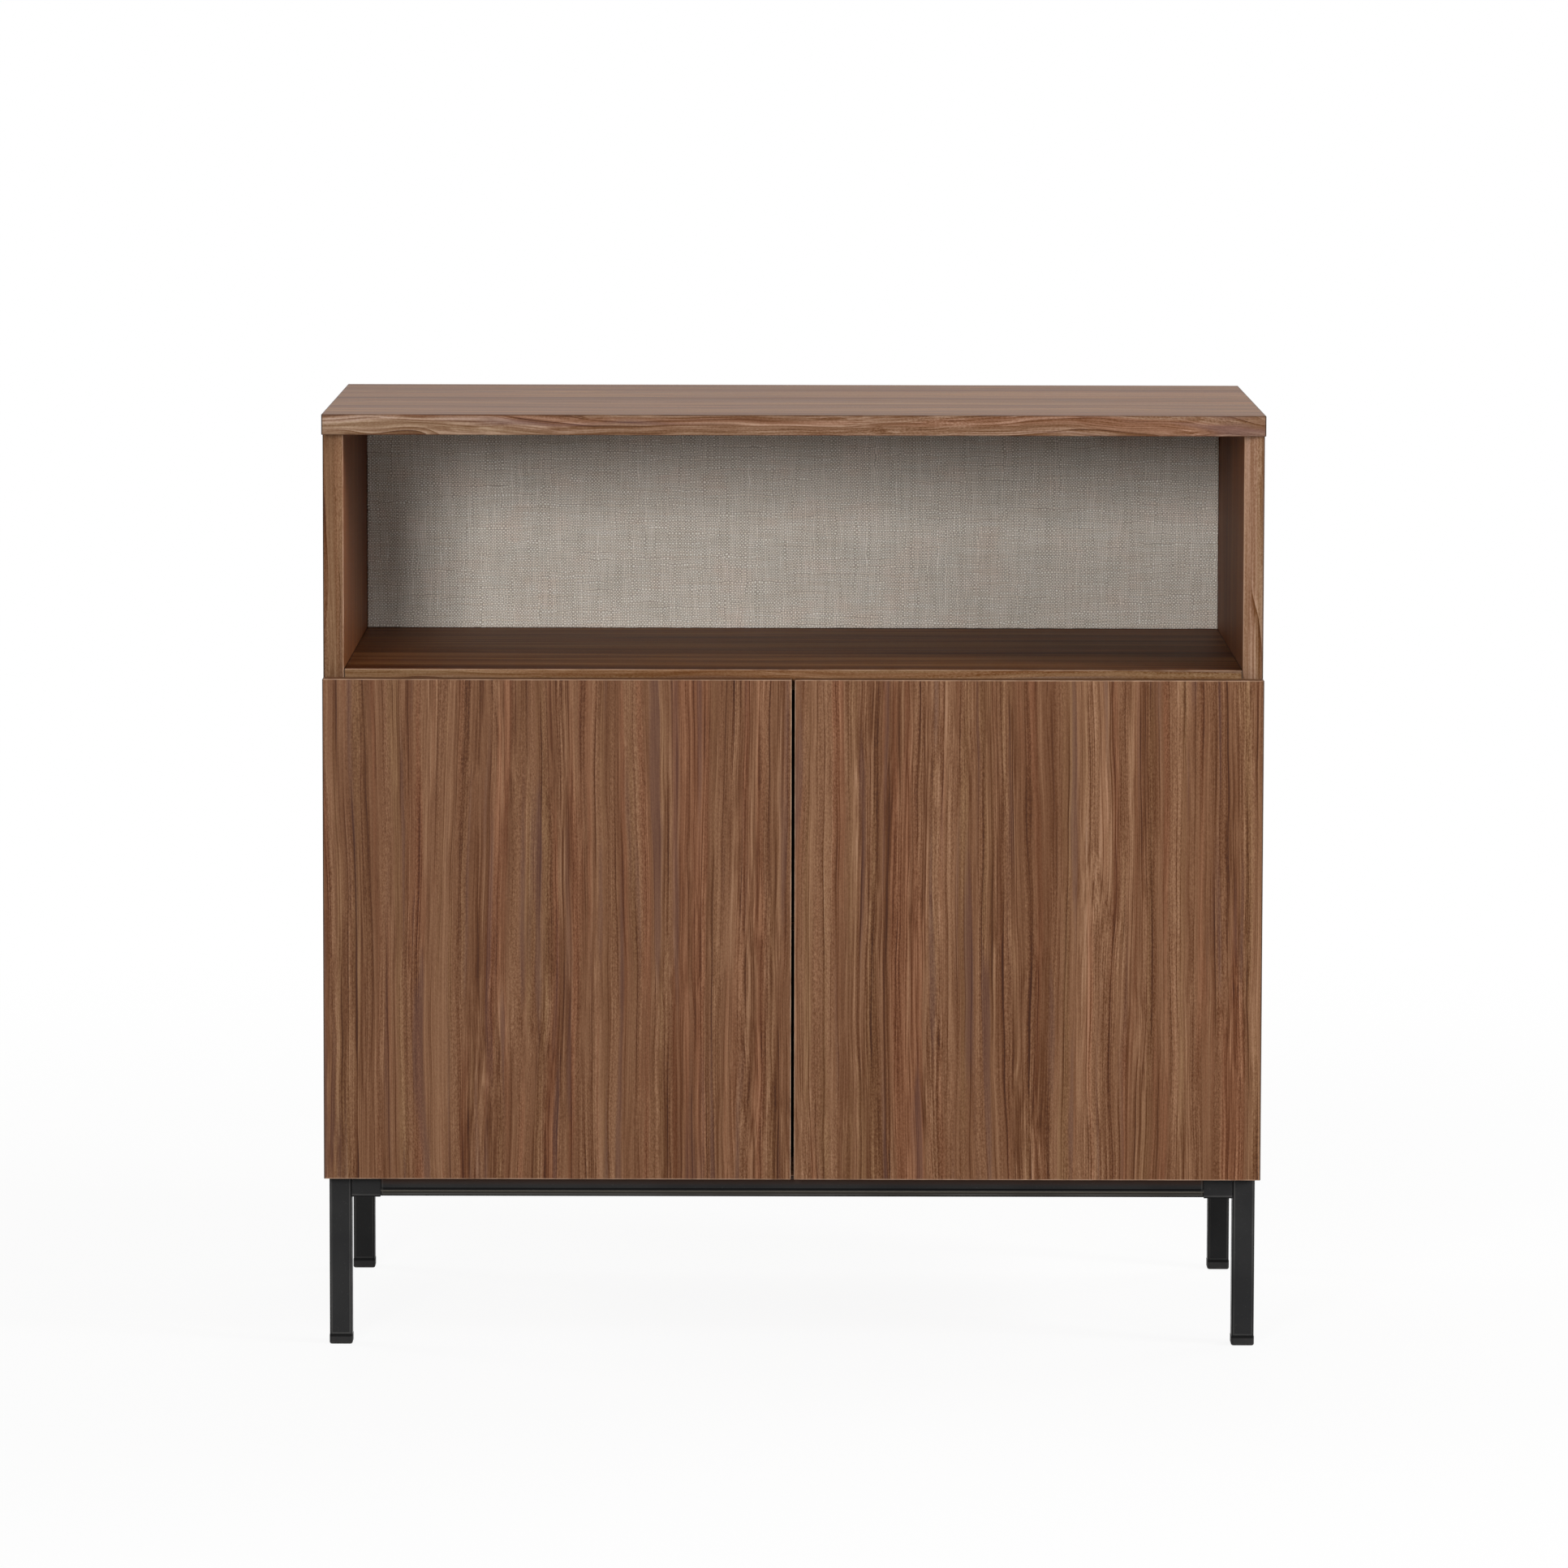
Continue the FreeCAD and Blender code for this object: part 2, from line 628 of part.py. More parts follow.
# ---- Carcass panels ------------------------------------------------------------
parts["top_panel"] = panel(-half_width, half_width, front, back, carcass_top, overall_height).cut(joint_room)
side_panel = panel(-half_width, -inner, carcass_front, back, base_height, carcass_top)
side_rooms = [joint_room, pin_holes, plate_room, base_room]
parts["left_side_panel"] = side_panel.cut(side_rooms)
parts["right_side_panel"] = mirrored(side_panel).cut(side_rooms)
parts["fixed_shelf"] = panel(-inner, inner, carcass_front, back_face, shelf_under, shelf_top).cut(
    [joint_room, back_room, latch_room])
parts["bottom_panel"] = panel(-inner, inner, carcass_front, back_face, base_height, floor_top).cut(
    [joint_room, back_room, base_room])
parts["back_panel"] = panel(-inner, inner, back_face, back, base_height, carcass_top).cut(
    [back_room, base_room])

tack_half = inner - tack_clearance
tack_low = shelf_top + tack_clearance
tack_high = carcass_top - tack_clearance
parts["tack_board"] = block(-tack_half, tack_half, tack_face, back_face, tack_low, tack_high)
parts["tack_fabric"] = block(-tack_half, tack_half, fabric_face, tack_face, tack_low, tack_high)

# ---- Doors ---------------------------------------------------------------------
door = panel(-half_width, -door_spacing / 2, front, front + door_board, base_height, door_top)
cup_rooms = [cup_bore(z) for z in hinge_levels.values()]
screw_rooms = [cup_screw_room(z + seat) for z in hinge_levels.values() for seat in cup_screw_offsets]
door = door.cut(cup_rooms + screw_rooms)
parts["left_door"] = door
parts["right_door"] = mirrored(door)

for name, shape in sorted(parts.items()):
    if not shape.isValid():
        print("not valid:", name)
    shape.exportStep("parts/" + name + ".step")
print(len(parts), "nodes")
box = Part.makeCompound(list(parts.values())).BoundBox
print("size", box.XLength, box.YLength, box.ZLength, "low", box.XMin, box.YMin, box.ZMin)
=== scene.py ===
import bpy
import bmesh
import math
from mathutils import Matrix, Vector, noise


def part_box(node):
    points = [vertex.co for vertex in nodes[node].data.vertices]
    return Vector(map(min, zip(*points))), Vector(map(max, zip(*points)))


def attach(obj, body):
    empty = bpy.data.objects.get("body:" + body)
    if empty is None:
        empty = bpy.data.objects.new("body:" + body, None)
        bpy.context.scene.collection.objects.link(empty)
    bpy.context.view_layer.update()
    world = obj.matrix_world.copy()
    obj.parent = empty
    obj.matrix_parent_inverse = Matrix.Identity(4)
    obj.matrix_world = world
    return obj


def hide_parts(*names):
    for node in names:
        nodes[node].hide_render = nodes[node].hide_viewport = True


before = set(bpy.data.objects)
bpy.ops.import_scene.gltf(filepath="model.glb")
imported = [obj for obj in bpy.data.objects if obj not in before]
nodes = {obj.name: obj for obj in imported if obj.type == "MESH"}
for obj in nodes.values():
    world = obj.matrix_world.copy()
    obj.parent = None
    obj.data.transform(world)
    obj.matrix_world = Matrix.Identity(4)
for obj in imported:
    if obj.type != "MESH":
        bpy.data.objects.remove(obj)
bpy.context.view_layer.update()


# ---- Legs, rails and welded stubs ------------------------------------------------
# Square steel tube, 22 mm with a 1.5 mm wall, under a box-section rail frame. Each leg has short
# stubs welded to it, the rails slide over them, and all of it is powder coated in satin black.

def tint(red, green, blue):
    """A colour off a paint card, 0 to 255, as the light values that a finish takes."""
    light = []
    for part in (red, green, blue):
        share = part / 255
        light.append(share / 12.92 if share < 0.04045 else ((share + 0.055) / 1.055) ** 2.4)
    return (*light, 1.0)


def step(finish, kind, values, out=0, **settings):
    """Adds one step to a finish; values go in by the socket's name or number."""
    made = finish.node_tree.nodes.new("ShaderNode" + kind)
    for name, value in settings.items():
        setattr(made, name, value)
    for socket, value in values.items():
        if isinstance(value, bpy.types.NodeSocket):
            finish.node_tree.links.new(value, made.inputs[socket])
        else:
            made.inputs[socket].default_value = value
    return made.outputs[out]


def reckon(finish, rule, *values):
    return step(finish, "Math", dict(enumerate(values)), operation=rule)


def split(finish, place):
    """The x, y and z of a place or a direction."""
    return step(finish, "SeparateXYZ", {0: place}).node.outputs


def grain(finish, place, changes, detail=0.0, rough=0.55, out=0):
    """Soft random tone, 0 to 1, with that many changes a metre, the same or one for each axis."""
    if isinstance(changes, (int, float)):
        changes = (changes, changes, changes)
    spot = step(finish, "VectorMath", {0: place, 1: changes}, operation="MULTIPLY")
    values = {"Vector": spot, "Scale": 1.0, "Detail": detail, "Roughness": rough}
    return step(finish, "TexNoise", values, out=out)


def between(finish, value, low, high, start=0.0, end=1.0):
    """Turns low..high into start..end with soft ends."""
    values = {0: value, 1: low, 2: high, 3: start, 4: end}
    return step(finish, "MapRange", values, interpolation_type="SMOOTHSTEP")


def stripe(finish, value, rise, fall, share=1.0):
    """A soft-edged stripe that rises to its share over one span and falls over another."""
    up = between(finish, value, *rise, 0.0, share)
    down = between(finish, value, *fall, 1.0, 0.0)
    return reckon(finish, "MULTIPLY", up, down)


def overlay(finish, share, under, over, how="MIX"):
    return step(finish, "Mix", {0: share, 6: under, 7: over}, out=2, data_type="RGBA", blend_type=how)


def new_finish(name, roughness, metallic=0.0, specular=0.5):
    finish = bpy.data.materials.new(name)
    finish.use_nodes = True
    shader = finish.node_tree.nodes["Principled BSDF"]
    shader.inputs["Roughness"].default_value = roughness
    shader.inputs["Metallic"].default_value = metallic
    shader.inputs["Specular IOR Level"].default_value = specular
    return finish


def set_on(finish, **values):
    """Joins worked values to the shader's own sockets, by name."""
    shader = finish.node_tree.nodes["Principled BSDF"]
    for name, value in values.items():
        finish.node_tree.links.new(value, shader.inputs[name.replace("_", " ")])


def relief(finish, height, depth, share=0.5):
    """Fine surface relief, depth in metres."""
    return step(finish, "Bump", {"Strength": share, "Distance": depth, "Height": height})


def object_place(finish):
    return step(finish, "TexCoord", {}).node.outputs["Object"]


def apply(finish, *names):
    for name in names:
        slots = nodes[name].data.materials
        slots.clear()
        slots.append(finish)


def arris_distance(finish, place, low, high):
    """Distance of a point on a square-cut piece from its nearest edge, in metres: the middle one
    of its three depths inside the piece's box."""
    moved = step(finish, "VectorMath", {0: place, 1: (low + high) / 2}, operation="SUBTRACT")
    away = step(finish, "VectorMath", {0: moved}, operation="ABSOLUTE")
    depth = step(finish, "VectorMath", {0: (high - low) / 2, 1: away}, operation="SUBTRACT")
    x, y, z = split(finish, depth)
    least = reckon(finish, "MINIMUM", x, y)
    most = reckon(finish, "MAXIMUM", x, y)
    return reckon(finish, "MAXIMUM", least, reckon(finish, "MINIMUM", most, z))


lip_rise = 0.0051
groove_width = 0.0028
reflection_start = 0.004
reflection_full = 0.015
line_blur = 0.0003
lip_blur = 0.0002
lip_highlight_start = 0.0012
lip_highlight_full = 0.0008


def rail_marks(finish, place, colour, lip):
    """Adds what a rail shows from below its groove to its top: painted light on the lower lip, which
    is paler, a painted highlight along its edge, painted shade in the groove, and a painted brown
    reflection of the boards above. Lip is the lip's height."""
    height = split(finish, place)[2]
    # Painted reflection: the brown of the boards above, on the rail's upper band.
    board_reflection = between(finish, height, lip + reflection_start, lip + reflection_full, 0.0, 0.9)
    colour = overlay(finish, board_reflection, colour, tint(78, 53, 39))
    # Painted light: the lower lip, below the groove, paler than the band above.
    lit_lip = between(finish, height, lip - lip_blur, lip + lip_blur, 0.85, 0.0)
    colour = overlay(finish, lit_lip, colour, tint(45, 42, 37))
    groove_top = lip + groove_width
    opens = (lip + line_blur, lip + 2 * line_blur)
    # Painted shade: near black in the groove.
    groove_shade = stripe(finish, height, opens, (groove_top, groove_top + line_blur), 0.95)
    colour = overlay(finish, groove_shade, colour, tint(2, 2, 2))
    # Painted highlight: a pale line along the lip's edge, just below the groove.
    highlight_rise = (lip - lip_highlight_start, lip - lip_highlight_full)
    arris_highlight = stripe(finish, height, highlight_rise, (lip, lip + line_blur), 0.8)
    return overlay(finish, arris_highlight, colour, tint(112, 108, 98))


coat_arris_shade = (0.0005, 0.0013)
coat_highlight_rise = (0.0012, 0.0017)
coat_highlight_fall = (0.0022, 0.003)


def powder_coat(name, low, high, deep=1.0, lip=None):
    """Satin black powder coat: fine orange peel, a little dust, painted shade on the arrises and a
    painted highlight line inside them. Deep below 1 darkens it all as painted shade, and lip is the
    height of a rail's lip."""
    finish = new_finish(name, 0.4, specular=0.08)
    place = object_place(finish)
    peel = grain(finish, place, 1400, 2.0)
    cloud = grain(finish, place, 9, 3.0)
    dust = between(finish, grain(finish, place, 420, 1.0), 0.66, 0.8, 0.0, 0.2)
    colour = overlay(finish, between(finish, cloud, 0.3, 0.7), tint(30, 30, 31), tint(40, 40, 40))
    colour = overlay(finish, dust, colour, tint(72, 71, 70))
    if lip:
        colour = rail_marks(finish, place, colour, lip)
    from_arris = arris_distance(finish, place, low, high)
    # Painted highlight: a pale line just inside each arris.
    arris_highlight = stripe(finish, from_arris, coat_highlight_rise, coat_highlight_fall, 0.34)
    arris_highlight = reckon(finish, "MULTIPLY", arris_highlight, between(finish, cloud, 0.35, 0.65, 0.2, 1.0))
    colour = overlay(finish, arris_highlight, colour, tint(104, 103, 101))
    # Painted shade: a near black line along each arris.
    dark = between(finish, from_arris, *coat_arris_shade, 0.92, 0.0)
    colour = overlay(finish, dark, colour, tint(4, 4, 4))
    # Painted shade: deep below 1 darkens the whole coat.
    colour = overlay(finish, 1.0, colour, (deep, deep, deep, 1), "MULTIPLY")
    gloss = between(finish, grain(finish, place, 60, 2.0), 0.2, 0.8, 0.34, 0.46)
    set_on(finish, Base_Color=colour, Roughness=gloss, Normal=relief(finish, peel, 0.00008))
    return finish


# The rear legs take deep 0.6, painted shade for the shade they stand in under the credenza.
for end, deep in (("front", 1.0), ("rear", 0.6)):
    for side in ("left", "right"):
        leg = f"{end}_{side}_leg"
        apply(powder_coat(f"powder coat, {leg}", *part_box(leg), deep), leg)
for rail in ("front_rail", "rear_rail", "left_rail", "right_rail"):
    rail_low, rail_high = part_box(rail)
    coat = powder_coat(f"powder coat, {rail}", rail_low, rail_high, lip=rail_low.z + lip_rise)
    apply(coat, rail)
apply(powder_coat("powder coat, stubs", *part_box("rail_stubs")), "rail_stubs")


# ---- Feet --------------------------------------------------------------------------
# Moulded black nylon, pushed up into the end of each leg. The pad under the tube is rounded at
# the floor and has the fine spark-eroded texture of its mould, scuffed pale underneath.

scuff_height = 0.003
seam_height = 0.007
seam_blur = 0.0007


def moulded_nylon(name, floor_level):
    """Black nylon from the floor up to a near black line of painted shade at the seam where the foot
    goes into its tube.
    """
    finish = new_finish(name, 0.55, specular=0.1)
    place = object_place(finish)
    height = split(finish, place)[2]
    spark = grain(finish, place, 2600, 2.0)
    colour = overlay(finish, grain(finish, place, 60, 2.0), tint(32, 32, 32), tint(45, 44, 44))
    scratches = between(finish, grain(finish, place, (500, 500, 90), 2.0), 0.4, 0.7)
    scuff = between(finish, height, floor_level, floor_level + scuff_height, 0.6, 0.0)
    colour = overlay(finish, reckon(finish, "MULTIPLY", scuff, scratches), colour, tint(86, 83, 80))
    # Painted shade: near black from the seam up, where the foot goes into its tube.
    seam_level = floor_level + seam_height
    seam = between(finish, height, seam_level, seam_level + seam_blur, 0.0, 0.95)
    colour = overlay(finish, seam, colour, tint(2, 2, 2))
    gloss = between(finish, spark, 0.2, 0.8, 0.48, 0.66)
    set_on(finish, Base_Color=colour, Roughness=gloss, Normal=relief(finish, spark, 0.00008))
    return finish


for end in ("front", "rear"):
    for side in ("left", "right"):
        foot = f"{end}_{side}_foot"
        apply(moulded_nylon(f"nylon, {foot}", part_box(foot)[0].z), foot)


# ---- Carcass boards ------------------------------------------------------------------
# Particle board, 20 mm, faced and edged with a matt walnut-grain laminate. The bottom, fixed
# shelf and sides are held by cams and dowels, and the top lies over the sides and the doors.

X, Y, Z = 0, 1, 2
as_it_is = (1, 1, 1, 1)
face_depth = 0.002
slow_wander = 0.024
board_shade_line = (0.0006, 0.0013)
board_highlight_line = (0.0004, 0.0014)
end_shade_start = 0.0014
end_shade_full = 0.0008


def object_facing(finish):
    return step(finish, "TexCoord", {}).node.outputs["Normal"]


def grain_course(finish, place, facing, along, band, shift, swirl):
    """Where a point is in the wood: x runs with the grain, which wanders gently, and y and z lie
    across it. The grain runs along one axis of the board, and on its two ends along the band."""
    xyz = split(finish, place)
    is_end = reckon(finish, "GREATER_THAN", reckon(finish, "ABSOLUTE", facing[along]), 0.7)
    run = step(finish, "Mix", {0: is_end, 2: xyz[along], 3: xyz[band]})
    cross = step(finish, "Mix", {0: is_end, 2: xyz[band], 3: xyz[along]})
    straight = step(finish, "CombineXYZ", {0: run, 1: cross, 2: xyz[X + Y + Z - along - band]})
    straight = step(finish, "VectorMath", {0: straight, 1: shift}, operation="ADD")
    wood = straight
    bends = (((2.0, 8, 8), slow_wander), ((5, 24, 24), swirl * 2.6), ((16, 70, 70), swirl * 0.8))
    for changes, reach in bends:
        bend = grain(finish, straight, changes, out=1)
        bend = step(finish, "VectorMath", {0: bend, 1: (0.5, 0.5, 0.5)}, operation="SUBTRACT")
        sideways = {0: bend, 1: (0, reach, reach), 2: wood}
        wood = step(finish, "VectorMath", sideways, operation="MULTIPLY_ADD")
    return wood


def add_tone(finish, tone, extra, share):
    """Adds a share of a soft random tone, above or below its middle."""
    return reckon(finish, "MULTIPLY_ADD", reckon(finish, "SUBTRACT", extra, 0.5), share, tone)


def growth_lines(finish, wood, tone):
    """Growth rings cut along the log, in three sizes over each other: each ring ends in a thin
    dark line with a light one behind it, and each line fades in and out along the grain."""
    run, cross, deep = split(finish, wood)
    sway = reckon(finish, "SUBTRACT", grain(finish, wood, (1.1, 26, 26)), 0.5)
    sway = reckon(finish, "MULTIPLY", sway, 2.0)
    for pitch, dark, light in ((0.0125, 0.30, 0.09), (0.0073, 0.20, 0.08), (0.0041, 0.12, 0.06)):
        rings = reckon(finish, "MULTIPLY_ADD", cross, 1 / pitch, sway)
        rings = reckon(finish, "MULTIPLY_ADD", deep, 0.4 / pitch, rings)
        ring = reckon(finish, "FRACT", rings)
        line = step(finish, "CombineXYZ", {0: run, 1: reckon(finish, "FLOOR", rings)})
        strength = between(finish, grain(finish, line, (3.5, 0.77, 1), 1.0), 0.44, 0.66)
        late = reckon(finish, "MULTIPLY", reckon(finish, "POWER", ring, 9.0), strength)
        early = reckon(finish, "POWER", reckon(finish, "SUBTRACT", 1.0, ring), 12.0)
        early = reckon(finish, "MULTIPLY", early, strength)
        tone = reckon(finish, "MULTIPLY_ADD", late, -dark, tone)
        tone = reckon(finish, "MULTIPLY_ADD", early, light, tone)
    return tone


def walnut_colour(finish, wood, tone):
    """Brown by tone, dark to pale, with redder, greener and plum-brown streaks."""
    bands = step(finish, "ValToRGB", {0: tone})
    card = bands.node.color_ramp
    card.elements[0].position = 0.25
    card.elements[0].color = tint(54, 24, 7)
    card.elements[1].position = 0.75
    card.elements[1].color = tint(150, 115, 90)
    for at, colour in ((0.38, (80, 45, 20)), (0.50, (105, 70, 46)), (0.62, (130, 95, 69))):
        card.elements.new(at).color = tint(*colour)
    hue = grain(finish, wood, (0.9, 60, 60), 2.0)
    redder = between(finish, hue, 0.52, 0.68, 0.0, 0.8)
    greener = between(finish, hue, 0.32, 0.48, 0.7, 0.0)
    plum = between(finish, grain(finish, wood, (-2.4, 95, 95), 1.0), 0.57, 0.72, 0.0, 0.42)
    colour = overlay(finish, redder, bands, (1.08, 0.95, 0.93, 1), "MULTIPLY")
    colour = overlay(finish, greener, colour, (0.95, 1.0, 0.90, 1), "MULTIPLY")
    return overlay(finish, plum, colour, tint(77, 52, 47))


def arris_lines(finish, place, facing, low, high, colour, seam):
    """Marks a board's edges: a painted highlight along each arris, or with a shade line a painted
    shade along it, and painted shade at the board's outer ends across the credenza, on their
    arrises and where a shelf meets the sides."""
    from_arris = arris_distance(finish, place, low, high)
    highlight_share = between(finish, grain(finish, place, 40, 3.0), 0.3, 0.62, 0.25, 0.75)
    if seam:
        line = between(finish, from_arris, *board_shade_line, seam, 0.0)
        line_colour = tint(70, 46, 34)
    else:
        line = between(finish, from_arris, *board_highlight_line, 1.0, 0.0)
        line_colour = tint(168, 138, 116)
    # Painted highlight along each arris, or painted shade along it where a shade line is given.
    colour = overlay(finish, reckon(finish, "MULTIPLY", line, highlight_share), colour, line_colour)
    outer = max(abs(low.x), abs(high.x))
    off_centre = reckon(finish, "ABSOLUTE", split(finish, place)[X])
    is_side = reckon(finish, "LESS_THAN", reckon(finish, "ABSOLUTE", facing[X]), 0.98)
    # Painted shade at the outer arrises and the shelf's joints with the sides.
    end_shade = between(finish, off_centre, outer - end_shade_start, outer - end_shade_full, 0.0, 0.85)
    return overlay(finish, reckon(finish, "MULTIPLY", end_shade, is_side), colour, tint(44, 32, 24))


def walnut(name, low, high, along, band, shift, swirl=0.003, contrast=0.46, shine=0.13,
           band_tone=as_it_is, face_tone=as_it_is, face_side=1, seam=0.0):
    """Walnut laminate with its grain along one axis and its edge bands along another. Shift picks
    the place in the print, swirl is how far the fine grain wanders, and contrast how bold its
    figure is. Band light tone paints the edge bands paler and greyer for the light they catch, and
    face light tone paints light and shade on the low face (0) or the high face (1). Shade line is
    how dark the painted shade along an arris is."""
    finish = new_finish(name, 0.5, specular=shine)
    place = object_place(finish)
    facing = split(finish, object_facing(finish))
    wood = grain_course(finish, place, facing, along, band, shift, swirl)
    figure = grain(finish, wood, (0.6, 20, 20), 3.0, rough=0.8)
    threads = grain(finish, wood, (2.4, 300, 300), 2.0, rough=1.0)
    beads = grain(finish, wood, (420, 760, 760), 1.0)
    calm = between(finish, grain(finish, wood, (1.6, 34, 34), 1.0), 0.36, 0.64, 0.28, 0.80)
    beaded = between(finish, grain(finish, wood, (2.0, 90, 90), 1.0), 0.42, 0.66, 0.12, 0.34)
    tone = add_tone(finish, 0.5, figure, contrast)
    tone = add_tone(finish, tone, threads, calm)
    tone = add_tone(finish, tone, beads, beaded)
    colour = walnut_colour(finish, wood, growth_lines(finish, wood, tone))

    third = X + Y + Z - along - band
    is_face = reckon(finish, "GREATER_THAN", reckon(finish, "ABSOLUTE", facing[third]), 0.7)
    is_band = reckon(finish, "SUBTRACT", 1.0, is_face)
    face_level = (low, high)[face_side][third]
    is_light_toned = reckon(finish, "COMPARE", split(finish, place)[third], face_level, face_depth)
    is_light_toned = reckon(finish, "MULTIPLY", is_face, is_light_toned)
    # Painted light: the edge bands and the chosen face are recoloured for the light and shade they get.
    colour = overlay(finish, is_band, colour, band_tone, "MULTIPLY")
    colour = overlay(finish, is_light_toned, colour, face_tone, "MULTIPLY")
    colour = arris_lines(finish, place, facing, low, high, colour, seam)
    gloss = between(finish, threads, 0.3, 0.7, 0.46, 0.56)
    height = reckon(finish, "MULTIPLY_ADD", beads, 0.4, threads)
    set_on(finish, Base_Color=colour, Roughness=gloss, Normal=relief(finish, height, 0.00005))
    return finish


def laminate(board, along, band, shift, **ways):
    """Dresses a board in the walnut laminate."""
    apply(walnut(f"walnut, {board}", *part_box(board), along, band, shift, **ways), board)


# Painted light: the inner faces of the side panels and the fixed shelf's top are warmed for the shaded
# light in the compartment, the top's upper face is paled for its sheen, and the edge bands of the
# sides, shelf and top are paled and greyed for the light on them.
inner_light_tone = (1.12, 0.89, 0.68, 1)
inner_shine = 0.06

laminate("bottom_panel", X, Y, (0.3, 0.11, 0.52))
laminate("left_side_panel", Z, Y, (1.9, 0.37, 0.83), shine=inner_shine,
         band_tone=(1.01, 1.12, 1.17, 1), face_tone=inner_light_tone, face_side=1)
laminate("right_side_panel", Z, Y, (4.2, 0.71, 0.29), shine=inner_shine,
         band_tone=(1.35, 1.61, 2.06, 1), face_tone=inner_light_tone, face_side=0)
laminate("fixed_shelf", X, Y, (2.7, 0.93, 0.14), contrast=0.85, shine=inner_shine,
         band_tone=(1.63, 2.15, 2.4, 1), face_tone=(1.16, 0.98, 0.68, 1))
laminate("top_panel", X, Y, (5.6, 0.45, 1.27), swirl=0.007, contrast=0.57,
         band_tone=(1.42, 1.81, 2.39, 1), face_tone=(1.21, 1.2, 1.0, 1), seam=0.9)


# ---- Back panel ----------------------------------------------------------------------
# A 12 mm board screwed to the backs of the carcass boards, laminated in the same walnut print
# with its grain upright.

apply(walnut("walnut, back", *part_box("back_panel"), Z, X, (7.7, 0.2, 0.6)), "back_panel")


# ---- Cams, dowels and screws -----------------------------------------------------------
# Zinc-plated cams, bolts and screws, and beech dowels. They are inside the joints, and
# only the cam faces and the screw heads are seen from under or behind.

def plated(name, colour, shade, roughness, brush=900):
    """Plated steel, brushed along the axis with the smallest number of changes a metre."""
    finish = new_finish(name, roughness, metallic=1.0)
    place = object_place(finish)
    drawn = grain(finish, place, brush, 2.0)
    cloud = grain(finish, place, 70, 3.0)
    tone = overlay(finish, between(finish, cloud, 0.3, 0.7), tint(*colour), tint(*shade))
    tone = overlay(finish, between(finish, drawn, 0.3, 0.7, 0.0, 0.25), tone, tint(*shade))
    gloss = between(finish, cloud, 0.25, 0.75, roughness - 0.06, roughness + 0.1)
    set_on(finish, Base_Color=tone, Roughness=gloss, Normal=relief(finish, drawn, 0.00003, 0.4))
    return finish


def beech(name):
    """Plain beech with its short dark flecks, lying along x as the dowels do."""
    finish = new_finish(name, 0.6, specular=0.3)
    place = object_place(finish)
    fleck = grain(finish, place, (90, 700, 700), 1.0)
    tone = grain(finish, place, (6, 60, 60), 2.0)
    colour = overlay(finish, between(finish, tone, 0.3, 0.7), tint(205, 170, 128), tint(184, 146, 104))
    colour = overlay(finish, between(finish, fleck, 0.58, 0.7, 0.0, 0.7), colour, tint(140, 102, 70))
    set_on(finish, Base_Color=colour, Normal=relief(finish, fleck, 0.00008))
    return finish


zinc = plated("zinc plate", (208, 211, 214), (172, 175, 180), 0.32)
apply(zinc, "cam_discs", "cam_bolts", "back_screws", "base_screws", "rail_lock_screws")
apply(beech("beech"), "dowels")


# ---- Tack board and its cloth -----------------------------------------------------------
# Pressed fibre board, 12 mm, stands in front of the back panel in the open compartment. A plain
# linen-look cloth is stretched over its front, turned over its edges and glued.

def fibre_board(name):
    finish = new_finish(name, 0.85, specular=0.2)
    place = object_place(finish)
    flock = grain(finish, place, 900, 3.0)
    cloud = between(finish, grain(finish, place, 40, 2.0), 0.4, 0.7, 0.0, 0.4)
    colour = overlay(finish, between(finish, flock, 0.3, 0.7), tint(160, 138, 106), tint(196, 174, 140))
    colour = overlay(finish, cloud, colour, tint(140, 118, 90))
    set_on(finish, Base_Color=colour, Normal=relief(finish, flock, 0.0003, 0.6))
    return finish


apply(fibre_board("fibre board"), "tack_board")

thread_pitch = 0.0017
thread_wander = 2.1 * thread_pitch
thread_unevenness = 2.0 * thread_pitch


def thread_count(finish, along, wander, uneven):
    """Counts threads along one way of the cloth; they wander, and are thick and thin by turns."""
    along = reckon(finish, "MULTIPLY_ADD", wander, thread_wander, along)
    along = reckon(finish, "MULTIPLY_ADD", uneven, thread_unevenness, along)
    return reckon(finish, "DIVIDE", along, thread_pitch)


def crown(finish, count):
    """Round back of a thread: 1 in its middle, 0 at its edges."""
    turn = reckon(finish, "MULTIPLY", reckon(finish, "FRACT", count), math.pi)
    return reckon(finish, "SINE", turn)


def thread_tone(finish, number, along, seed):
    """Tone of one thread, which changes slowly along it."""
    spot = step(finish, "CombineXYZ", {0: number, 1: along, 2: seed})
    return grain(finish, spot, (0.73, 0.03, 1), 3.0, rough=0.7)


